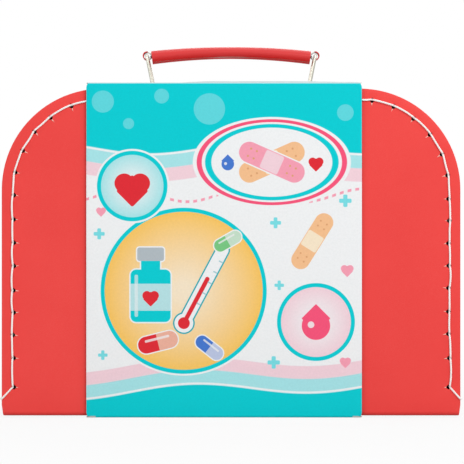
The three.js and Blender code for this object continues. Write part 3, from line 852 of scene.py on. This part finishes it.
def top_print():
    """The pale top panel: small bubbles, and a line round the window."""
    p, hand, middle = Print("top_print", 1, True, TOP_PANEL), random.Random(5), -SLEEVE_MIDDLE / MM
    bubbles = [(hand.uniform(-70, 70), hand.choice((-1, 1)) * hand.uniform(34, 43),
                hand.uniform(1, 3)) for _ in range(22)]
    p.strewn(bubbles, DISC, WHITE, 0, 0.35)
    p.strewn([(middle + x, y, 2.4) for x in (-65, 65) for y in (-22, 3.75, 29.5)], PLUS, AQUA)
    p.ink(p.edge(p.slab((middle, 3.75), (58.5, 25.25), 5), 0.4), DEEP_TEAL)
    return p.varnished(0.8)


# The case's boards

def board(name, half):
    """Panel, rounded fold and floor in one, with a punched hole at each stitch."""
    radius = FOLD - BOARD / 2
    fold_top = BOTTOM + FOLD
    fold_end = fold_top - radius * pi / 2
    floor_end = fold_end - (abs(half.floor - half.face) - FOLD)
    foot = half.side - TAPER
    bends, rows = steps(fold_top, fold_end, 6), steps(fold_end, floor_end, 4)[1:]
    taper_top = BOTTOM + TAPER_HEIGHT
    low = [half.side - TAPER * (taper_top - max(y, BOTTOM)) / TAPER_HEIGHT for y in bends]
    low = [Vector(p) for p in zip(low + [foot] * len(rows), bends + rows)]
    outline = [p for p in case_outline(half, 0, BOTTOM) if p.y > fold_top + 1e-6] + low
    outline += divided(low[-1], vec(-foot, floor_end), 12 * MM)[1:] + mirrored(low)
    seam = stitches(half)
    holes = [hole(*stitch) for stitch in seam]
    centres = [p + across * HOLE_OFFSET for p, _, across in seam]
    inner = [centre + c for centre in centres for ring in HOLE_RINGS for c in circle(*ring)]
    columns = [k * BOARD_STEP for k in range(-13, 14)]
    far = [vec(x, fold_top + (k + 1) * BOARD_STEP) for x in columns for k in range(19)]
    inner += [p for p in far if min((p - stitch[0]).length for stitch in seam) > HOLE_CLEAR]
    inner += [vec(x, y) for x in columns for y in bends + rows[:-1]]
    piece = flat_sheet(name, outline, holes, inner, BOARD, BOARD_EDGE, clearance=2.5 * MM)

    def place(x, s, w):
        if s > fold_top:
            w += BULGE * bulge(x, s, half) - dimple(vec(x, s), centres)
            depth, z = BOARD / 2 - w, s
        elif s > fold_end:
            a = (fold_top - s) / radius
            depth, z = FOLD - (radius + w) * cos(a), fold_top - (radius + w) * sin(a)
        else:
            depth, z = FOLD + fold_end - s, BOTTOM + BOARD / 2 - w
        return vec(x, half.face + half.inward * depth, z)
    return bend_sheet(piece, place, (red_paper, lining, rim_paper))


def bulge(x, z, half):
    """How far the drying paper has drawn a panel out of flat, from 0 at its edges to 1."""
    across = max(0, 1 - (x / half.side) ** 2)
    up = (z - BOTTOM) / (half.top - BOTTOM)
    return across * max(0, 4 * up * (1 - up)) + 0.12 * sin(x * 43) * sin(z * 61)


def dimple(p, centres):
    """How deep the pulled thread has drawn the paper in near its holes."""
    return DIMPLE * fading(min((p - c).length for c in centres), DIMPLE_REACH)


def rim(name, half):
    """The strip that bends over the top, with a flange stitched to the panel."""
    low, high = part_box(half.rim)
    inset, turn = half.side - high.x, half.inward
    start = half.face + turn * (BOARD + GLUE)
    end = high.y if turn > 0 else low.y
    section = rounded([
        vec(0, start), vec(0, end), vec(RIM, end), vec(RIM, start + turn * RIM),
        vec(FLANGE, start + turn * RIM), vec(FLANGE, start),
    ], RIM_EDGE)
    path, frames = [], []
    for p, _, inward in directed(case_outline(half, inset, low.z, step=8 * MM, corner_steps=32)):
        path.append(vec(p.x, 0, p.y))
        frames.append((vec(inward.x, 0, inward.y), Y))
    piece = mesh_object(name, *swept(path, frames, section), (rim_paper,), smooth=35)
    punches = [prism(hole(*stitch), start - 4 * MM, start + 4 * MM) for stitch in stitches(half)]
    cut_out(piece, flange_notches(half, inset, start) + punches)
    piece = joined(name, [piece] + [glue_foot(half, sign, inset) for sign in (-1, 1)])
    line_inside(piece, half, inset)
    return piece


def line_inside(piece, half, inset):
    """Papers the rim's inner faces, those that lie deeper than the middle of its thickness."""
    x, z, radius = half.corner(inset)
    piece.data.materials.append(lining)
    for face in piece.data.polygons:
        out = vec(abs(face.center.x), face.center.z) - vec(x, z)
        reach = out.length if out.x > 0 and out.y > 0 else max(out)
        if reach < radius - RIM * 0.6:
            face.material_index = len(piece.data.materials) - 1


def flange_notches(half, inset, start):
    """The wedges cut from the flange so that it turns the corner."""
    bars, (x, z, radius) = [], half.corner(inset)
    for sign in (-1, 1):
        for a in steps(0, pi / 2, 2 * NOTCHES)[1::2]:
            out, centre = vec(sign * cos(a), sin(a)), vec(sign * x, z)
            across = vec(-out.y, out.x) * NOTCH_HALF
            root = centre + out * (radius - RIM - 1.5 * MM)
            mouth = centre + out * (radius - FLANGE - 2 * MM)
            wedge = [root, mouth + across, mouth - across]
            bars.append(prism(wedge, start - 5 * MM, start + 5 * MM))
    return bars


def glue_foot(half, sign, inset):
    """The tab that glues the rim to the floor."""
    outer = half.side - inset - TAPER - RIM / 2
    y0 = half.face + half.inward * (BOARD + GLUE + FOOT_MARGIN)
    y1 = half.floor - half.inward * FOOT_MARGIN
    low = BOTTOM + BOARD + GLUE
    section = rounded([vec(0, low), vec(FOOT_WIDTH, low),
                       vec(FOOT_WIDTH, low + RIM), vec(0, low + RIM)], RIM_EDGE)
    path = [vec(sign * outer, y, 0) for y in steps(y0, y1, 6)]
    frames = [(vec(-sign, 0, 0), Z)] * len(path)
    return mesh_object("foot", *swept(path, frames, section), (rim_paper,))


# The thread

def twisted(path, up, radius, sides=6):
    """Three plies laid round each other along a path."""
    ply, offset, strands = radius * 0.56, radius * 0.44, []
    frames, lengths = frames_along(path, up), lengths_along(path)
    for strand in range(PLIES):
        middles = []
        for place, (one, two), s in zip(path, frames, lengths):
            turn = tau * (s / LAY + strand / PLIES)
            middles.append(place + one * (offset * cos(turn)) + two * (offset * sin(turn)))
        strands.append(swept(middles, frames, circle(ply, sides)))
    return merged(strands)


def stitching(name, half):
    """The seam's outer thread, its inner thread and the loops that lock them in each hole."""
    seam = stitches(half)
    face, turn = half.face, half.inward
    up = vec(0, -turn, 0)
    inner_y = face + turn * (BOARD + GLUE + RIM + GLUE + THREAD)
    path = end_turn(half, seam[0][0], -1)
    for (a, _, pull), (b, _, next_pull) in zip(seam, seam[1:]):
        start, end = a + pull * PULL, b + next_pull * PULL
        across = vec((end - start).y, -(end - start).x).normalized()
        sway, lean = random.uniform(-SWAY, SWAY), random.uniform(-0.5, 0.5)
        for t in steps(0, 1, 32)[:-1]:
            bow = sin(pi * t)
            lift = THREAD * (0.25 + 0.85 * bow ** 0.5) - dip(min(t, 1 - t) * (end - start).length)
            skew = sway * bow * (1 + lean * cos(pi * t)) - 0.1 * MM * bow ** 0.6
            p = start.lerp(end, t) + across * skew
            path.append(vec(p.x, face - turn * lift, p.y))
    path += reversed(end_turn(half, seam[-1][0], 1))
    inner = []
    for (a, _, _), (b, _, _) in zip(seam, seam[1:]):
        for t in steps(0, 1, 10)[:-1]:
            p, lift = a.lerp(b, t), 0.35 * THREAD * sin(pi * t)
            inner.append(vec(p.x, inner_y + turn * lift, p.y))
    parts = [twisted(path, up, THREAD), twisted(inner, up, THREAD, sides=5)]
    for place, _, pull in seam:
        p = place + pull * (0.1 * MM)
        link = [vec(p.x, y, p.y) for y in steps(face, inner_y, 5)]
        parts.append(twisted(link, X, THREAD * 0.6, sides=5))
    return mesh_object(name, *merged(parts), (white_thread,), smooth=70)


def dip(reach):
    """How deep the thread is drawn into a hole, at a distance from it."""
    return THREAD_DIP * fading(reach, DIP_REACH)


def end_turn(half, first, sign):
    """From inside the rim, out through its hole and round the board's edge to the first stitch."""
    face, turn, z = half.face, half.inward, BOTTOM + TURN_HEIGHT
    side = half.side - RIM_INSET + GLUE + THREAD
    deep = face + turn * (BOARD + 3.2 * MM)
    corners = [
        vec(sign * (side - 3 * MM), deep, z), vec(sign * side, deep, z),
        vec(sign * side, face + turn * 0.5 * MM, z),
        vec(sign * (side - 0.9 * MM), face - turn * THREAD * 0.9, z + 0.6 * MM),
        vec(first.x, face - turn * THREAD * 0.4, first.y),
    ]
    out = []
    for i, (a, b) in enumerate(zip(corners, corners[1:])):
        before, after = corners[max(i - 1, 0)], corners[min(i + 2, len(corners) - 1)]
        count = max(3, round((b - a).length / (0.5 * MM)))
        out += [catmull(before, a, b, after, t) for t in steps(0, 1, count)[:-1]]
    for p in out:
        p.y += turn * dip((p - corners[-1]).length)
    return out


def catmull(before, a, b, after, t):
    """A point on the smooth curve from a to b."""
    return 0.5 * (
        2 * a + (b - before) * t + (2 * before - 5 * a + 4 * b - after) * t ** 2
        + (3 * a - before - 3 * b + after) * t ** 3
    )


def torn_lips(name, half):
    """The slivers of paper that the awl has lifted at the inner corner of each hole; their pale
    pink is torn paper and a painted highlight.
    """
    up, slivers = vec(0, -half.inward * MM, 0), []
    for place, along, across in stitches(half):
        corner = place + across * (HOLE_OFFSET + HOLE_ACROSS * 0.8)
        long, wide = random.uniform(1.2, 2.1) * MM, random.uniform(0.26, 0.42) * MM
        tip = corner + (across + along * random.uniform(-0.3, 0.3)) * long
        flat = [corner + along * wide, corner - along * wide, tip]
        low = [vec(p.x, half.face, p.y) + up * 0.02 for p in flat]
        slivers.append(tube([low, [p + up * lift for p, lift in zip(low, (0.3, 0.34, 0.05))]]))
    return mesh_object(name, *merged(slivers), (torn_and_highlit_paper,), smooth=20)


# The card sleeve

def sleeve(name, half, node, window_y, panel_material, top_material):
    """Half of the card band: floor, panel and top, with its part of the window."""
    low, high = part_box(node)
    left, right, turn = low.x, high.x, half.inward
    face, top_seam = (low.y, high.y) if turn > 0 else (high.y, sleeve_high.y + TOP_GAP)
    bottom_seam = pivots["lid_hinge"][1] - turn * HINGE_GAP
    radius = CARD_FOLD - CARD / 2
    quarter = radius * pi / 2
    floor = abs(bottom_seam - face) - CARD_FOLD
    wall = high.z - low.z - 2 * CARD_FOLD
    roof = abs(top_seam - face) - CARD_FOLD
    marks = list(accumulate((0, floor, quarter, wall, quarter, roof)))
    _, low_fold, panel, high_fold, flap, end = marks
    window = flap + abs(window_y - face) - CARD_FOLD
    rows = []
    for start, stop, count in zip(marks, marks[1:], (3, 6, 16, 12, 8)):
        rows += steps(start, stop, count)[:-1]
    rows.append(end)

    def pinch(s):
        """How far the crushed corners of the two folds draw the card's edge in."""
        past = min(abs(s - high_fold - quarter / 2), abs(s - low_fold - quarter / 2))
        return PINCH * fading(past, PINCH_REACH)
    fine = [mark + d * MM for mark in (low_fold, high_fold) for d in (-2.4, -1.6, -0.8, 2.9, 3.8)]
    fine = sorted(set(rows + fine))
    outline = [vec(right - pinch(s), s) for s in fine]
    window_side = [vec(WINDOW, end)]
    window_side += arc(WINDOW - WINDOW_CORNER, window + WINDOW_CORNER, WINDOW_CORNER, 0, -90, 5)
    other_side = mirrored(window_side)
    outline += window_side + divided(window_side[-1], other_side[0], 8 * MM)[1:] + other_side
    outline += [vec(left + pinch(s), s) for s in reversed(fine)]
    outline += divided(vec(left, 0), vec(right, 0), 10 * MM)[1:]
    columns = steps(left, right, 16)[1:-1]
    columns += [left + WORN, left + WORN / 2, right - WORN / 2, right - WORN]
    inner = [vec(x, s) for x in columns for s in rows[1:-1]]
    piece = flat_sheet(name, outline, [], inner, CARD, CARD_EDGE, clearance=1.2 * MM)
    for part in piece.data.polygons:
        across, up = part.center.x, part.center.y
        worn = min(across - left, right - across) < WORN
        worn = worn and low_fold < up < low_fold + quarter * 0.8
        if part.material_index == 0 and up > high_fold + quarter * 0.42:
            part.material_index = 3
        elif part.material_index == 0 and worn:
            part.material_index = 1

    def place(x, s, w):
        a = (s - (low_fold if s < panel else high_fold)) / radius
        round_out, round_up = (radius + w) * sin(a), (radius + w) * cos(a)
        if s < low_fold:
            depth, z = abs(bottom_seam - face) - s, low.z + CARD / 2 - w
        elif s < panel:
            depth, z = CARD_FOLD - round_out, low.z + CARD_FOLD - round_up
        elif s < high_fold:
            depth, z = CARD / 2 - w, CARD_FOLD + s - panel
        elif s < flap:
            depth, z = CARD_FOLD - round_up, high.z - CARD_FOLD + round_out
        else:
            depth, z = CARD_FOLD + s - flap, high.z - CARD / 2 + w
            if turn > 0:
                z += lip_rise(x, (depth - CARD_FOLD) / (roof + 2 * MM))
        return vec(x, face + turn * depth, z)
    materials = panel_material, grey_card, grey_card, top_material
    return bend_sheet(piece, place, materials, smooth=30)


def lip_rise(x, share):
    """How far the front top flap springs up on the right, at a share of its way back."""
    edge, start, climb, corner = sleeve_high.x, -40 * MM, 26 * MM, 4 * MM
    fall = share_of((x - edge + 26 * MM) / (14 * MM))
    past = max(0, x - (edge - corner)) / corner
    across = eased((x - start) / climb) * (1 - 0.24 * fall)
    across *= 0.55 + 0.45 * sqrt(max(0, 1 - past * past))
    return LIP_RISE * across * sin(pi * share_of(share) ** 1.1) ** 0.85


# The handle

def wire_ring(name, node, joint, sign):
    """A wire ring, its ends butted in the middle of the lower bar."""
    low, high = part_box(node)
    foot, pivot = Vector(pivots[joint]), Vector(pivots["grip_pivot"])
    bar = vec(sign * abs(pivot.x), foot.y, pivot.z)
    half = (high.y - low.y) / 2 - WIRE
    length, lean, bend = (bar - foot).length, (bar - foot).normalized(), RING_BEND
    flat = [vec(-0.25 * MM, 0)] + divided(vec(-1 * MM, 0), vec(bend - half, 0), 2 * MM)
    flat += arc(bend - half, bend, bend, 180, 270, 8)[::-1]
    flat += divided(vec(-half, bend), vec(-half, length - bend), 2 * MM)[1:]
    flat += arc(bend - half, length - bend, bend, 180, 90, 8)
    flat += divided(vec(bend - half, length), vec(0, length), 2 * MM)[1:]
    flat += mirrored(flat)
    tilt = radians(RING_TILT)
    across = vec(-sign * sin(tilt), cos(tilt), 0)
    path = [foot + lean * p.y + across * p.x for p in flat]
    frames = frames_along(path, lean.cross(Y))
    return mesh_object(name, *swept(path, frames, circle(WIRE, 16)), (nickel,), smooth=50)


def grip(name):
    """An oval roll of sheet that opens low at the front, and a curled tongue at each end."""
    pivot = Vector(pivots["grip_pivot"])
    curl = WIRE + PLAY + SHEET / 2
    across, up = GRIP_HALF - SHEET / 2, (GRIP_HEIGHT - SHEET) / 2
    top = pivot.z + curl + SHEET / 2

    def at(degrees, side):
        """A point of the roll; its rear edge is tucked in, and its front edge has a burr."""
        off = side * SHEET / 2 - TUCK * eased((ROLL_START + TUCKED - degrees) / TUCKED)
        off += BURR * (degrees > ROLL_END - 1)
        a = radians(degrees)
        return (across + off) * cos(a), (up + off) * sin(a)
    outer, inner = [[at(a, side) for a in steps(ROLL_START, ROLL_END, 72)] for side in (1, -1)]
    section = outer + inner[::-1]
    path, frames = [], []
    for t in steps(0, 1, 48):
        height = top - GRIP_HEIGHT / 2 + 4 * GRIP_BOW * t * (1 - t)
        path.append(vec((t - 0.5) * GRIP_LENGTH, pivot.y, height))
        slope = atan(4 * GRIP_BOW * (1 - 2 * t) / GRIP_LENGTH)
        flare = 1 + 0.12 * abs(2 * t - 1) ** 1.5
        frames.append((Y, flare * vec(-sin(slope), 0, cos(slope))))
    body = mesh_object("roll", *swept(path, frames, section), (red_lacquer, bare_steel), smooth=35)
    size, sides = len(section), (len(path) - 1) * len(section)
    for i, face in enumerate(body.data.polygons):
        face.material_index = 0 if i < sides and i % size < len(outer) - 2 else 1
    return joined(name, [body] + [tongue(sign, pivot, curl, top) for sign in (-1, 1)])


def tongue(sign, pivot, curl, top):
    """The strip that curls over the ring's bar, lacquered outside and bare inside; inside the
    curl's outer half, near-black steel is a painted shadow.
    """
    bar, end, wide = abs(pivot.x), GRIP_LENGTH / 2, 4 * MM
    flat = divided(vec(end - SHEET, top - SHEET / 2), vec(bar, top - SHEET / 2), 0.4 * MM)
    flat += arc(bar, pivot.z, curl, 90, -190, 48)
    path = [vec(sign * p.x, pivot.y, p.y) for p in flat]
    columns = steps(-wide, wide, 12)
    section = [(u, -SHEET / 2) for u in columns] + [(u, SHEET / 2) for u in reversed(columns)]
    skin = swept(path, frames_along(path, Y), section)
    piece = mesh_object("tongue", *skin, (red_lacquer, bare_steel, painted_shadow_steel), smooth=50)
    for face in piece.data.polygons:
        away = bar - abs(face.center.x)
        out = face.center - vec(sign * bar, pivot.y, pivot.z)
        out = Z if away > 0 else vec(out.x, 0, out.z).normalized()
        # Inward faces in the curl's outer half take slot 2, the near-black steel: a painted
        # shadow.
        if face.normal.dot(out) < -0.5 or away > 0.5 * MM:
            face.material_index = 1 if away > 0 else 2
    for vertex in piece.data.vertices:
        share = (bar - abs(vertex.co.x)) / (bar - end)
        if vertex.co.z > pivot.z and share > 0:
            crown = 1 - sqrt(1 - ((vertex.co.y - pivot.y) / GRIP_HALF) ** 2)
            vertex.co.z -= CROWN_DROP * crown * eased(share)
    return piece


# The hardware

def rivet(name, node, washer_name, washer_node):
    """A domed rivet and the washer that its tail is set over."""
    low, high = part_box(node)
    centre, head = (low + high) / 2, (high.x - low.x) / 2
    tail = ((0, 0), (0.7, 0), (0.95, 0.3), (1, 0.7), (0.9, 1))
    profile = [(TAIL * out, low.z + TAIL_HEIGHT * up) for out, up in tail]
    profile += [(SHANK, low.z + TAIL_HEIGHT), (SHANK, high.z - DOME)]
    profile += [(head * 0.96, high.z - DOME), (head, high.z - DOME * 0.9)]
    rise = DOME * 0.85
    profile += [(head * cos(a), high.z - rise + rise * sin(a)) for a in steps(0, pi / 2, 7)[1:-1]]
    body = turned(name, profile + [(0, high.z)], centre, nickel)
    low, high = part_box(washer_node)
    outer, hole_radius, edge = (high.x - low.x) / 2, SHANK + GLUE, WASHER_EDGE
    ring = [(hole_radius, low.z), (outer - edge, low.z), (outer, low.z + edge),
            (outer, high.z - edge), (outer - edge, high.z), (hole_radius, high.z)]
    return body, turned(washer_name, ring + ring[:1], centre, zinc)


def dress_metal(node, material, edge):
    """A CAD sheet-metal piece keeps its shape, with softened edges and smooth curls."""
    piece = frame["nodes"][node]
    piece.data.materials.clear()
    piece.data.materials.append(material)
    shade(piece.data, smooth=40)
    soft_edges(piece, edge).harden_normals = True


def hinge_strip(name):
    """The glued cloth strip under the two floors, laid flat."""
    low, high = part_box("hinge_strip")
    columns = steps(low.x, high.x, 24)
    section = [(x, low.z) for x in columns] + [(x, high.z) for x in reversed(columns)]
    path = [vec(0, y, 0) for y in steps(low.y, high.y, 40)]
    frames = [(X, Z)] * len(path)
    return mesh_object(name, *swept(path, frames, section), (hinge_cloth,), smooth=30)


# The set: camera, floor, light

def add_camera():
    """Square on to the front, its frame 252.86 mm wide at the front panel."""
    shown, away, height = 252.86 * MM, 1.4, 101 * MM
    data = bpy.data.cameras.new("camera")
    data.sensor_width = 36
    data.lens = data.sensor_width * away / shown
    data.clip_start, data.clip_end = 0.05, 50
    camera = new_object("camera", data)
    camera.location = (0.5 * MM, LID.face - away, height)
    camera.rotation_euler = (radians(90), 0, 0)
    bpy.context.scene.camera = camera


def add_floor():
    """Grey in reflections and almost clear to the camera, so that an opened lid shows below it."""
    size = 6
    corners = [vec(x * size, y * size, 0) for x, y in ((-1, -1), (1, -1), (1, 1), (-1, 1))]
    grey = (0.62, 0.62, 0.62, 1)
    g = Graph("floor", Roughness=0.9, Specular_IOR_Level=0.1, Base_Color=grey)
    rays = g.node("LightPath").outputs
    far = g.vector("LENGTH", g.place, output="Value")
    seen_through = g.math("MULTIPLY", rays["Is Camera Ray"], g.range(far, 0.2, 0.8, 0.9, 1))
    light_through = g.math("MULTIPLY", rays["Is Shadow Ray"], 0.8)
    clear = g.node("BsdfTransparent")
    g.show(g.math("MAXIMUM", seen_through, light_through), g.shader, clear, "Material Output")
    floor = mesh_object("floor", corners, [(0, 1, 2, 3)], (g.owner,))


def add_world():
    """A white room: plain white to the camera and in reflections, softer as light."""
    world, white = bpy.data.worlds.new("room"), (1, 1, 1, 1)
    g = Graph("room", world, "Background", Color=white, Strength=0.62)
    rays = g.node("LightPath").outputs
    seen = rays["Is Camera Ray"]
    for name in ("Is Glossy Ray", "Is Transmission Ray"):
        seen = g.math("MAXIMUM", seen, rays[name])
    plain = g.node("Background", {"Color": white, "Strength": 1})
    g.show(seen, g.shader, plain, "World Output")
    bpy.context.scene.world = world


def add_lamp(name, place, size, watts):
    """A square-cornered lamp that looks at the middle of the case."""
    data = bpy.data.lights.new(name, "AREA")
    data.shape = "RECTANGLE"
    data.size, data.size_y = size
    data.energy = watts
    lamp = new_object(name, data)
    lamp.location = place
    aim = vec(0, 0, 0.1) - Vector(place)
    lamp.rotation_euler = aim.to_track_quat("-Z", "Y").to_euler()


add_camera()
add_floor()
add_world()
add_lamp("key", (0.55, -0.9, 0.85), (0.7, 0.5), 6.9)
add_lamp("fill", (-0.8, -0.9, 0.35), (0.6, 0.6), 1.9)
add_lamp("top", (0.1, 0.1, 1.1), (0.8, 0.6), 1.8)
add_lamp("rear", (0.3, 1.1, 0.7), (0.8, 0.6), 4.0)


# The pieces, each on its body

def put(piece, body, node=None):
    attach(piece, body)
    if node:
        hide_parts(node)


for half, body in ((LID, "case_lid"), (BASE, "case_base")):
    put(board(f"{half.name}_panel", half), body, f"{half.name}_board")
    put(rim(f"{half.name}_rim_strip", half), body, f"{half.name}_rim")
    put(stitching(f"{half.name}_thread", half), body, f"{half.name}_stitching")
    put(torn_lips(f"{half.name}_hole_lips", half), body)

window_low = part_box("latch_plate")[0].y - WINDOW_MARGIN
window_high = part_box("handle_ring_left")[1].y + WINDOW_MARGIN
card_top = top_print()
front = sleeve("card_front", LID, "sleeve_front", window_low, front_print(), card_top)
put(front, "case_lid", "sleeve_front")
back = sleeve("card_back", BASE, "sleeve_back", window_high, back_print(), card_top)
put(back, "case_base", "sleeve_back")

strip_piece = hinge_strip("hinge_cloth")
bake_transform(strip_piece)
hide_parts("hinge_strip")

for side, joint, sign in (("left", "handle_fold", -1), ("right", "right_ring_swing", 1)):
    node = f"handle_ring_{side}"
    put(wire_ring(f"{side}_wire_ring", node, joint, sign), f"{side}_ring", node)
put(grip("rolled_grip"), "grip", "handle_grip")

for kind, body in (("handle", "case_base"), ("latch", "case_lid"), ("catch", "case_base")):
    for side in ("left", "right"):
        nodes = f"{kind}_rivet_{side}", f"{kind}_washer_{side}"
        names = f"{kind}_domed_rivet_{side}", f"{kind}_flat_washer_{side}"
        body_piece, washer = rivet(names[0], nodes[0], names[1], nodes[1])
        put(body_piece, body, nodes[0])
        put(washer, body, nodes[1])

for node in ("handle_bracket_left", "handle_bracket_right", "latch_plate", "latch_hasp",
             "latch_catch"):
    dress_metal(node, zinc, edge=0.1 * MM)
dress_metal("latch_pin", nickel, edge=0.08 * MM)

bpy.context.scene.view_settings.view_transform = "Standard"
bpy.context.view_layer.update()
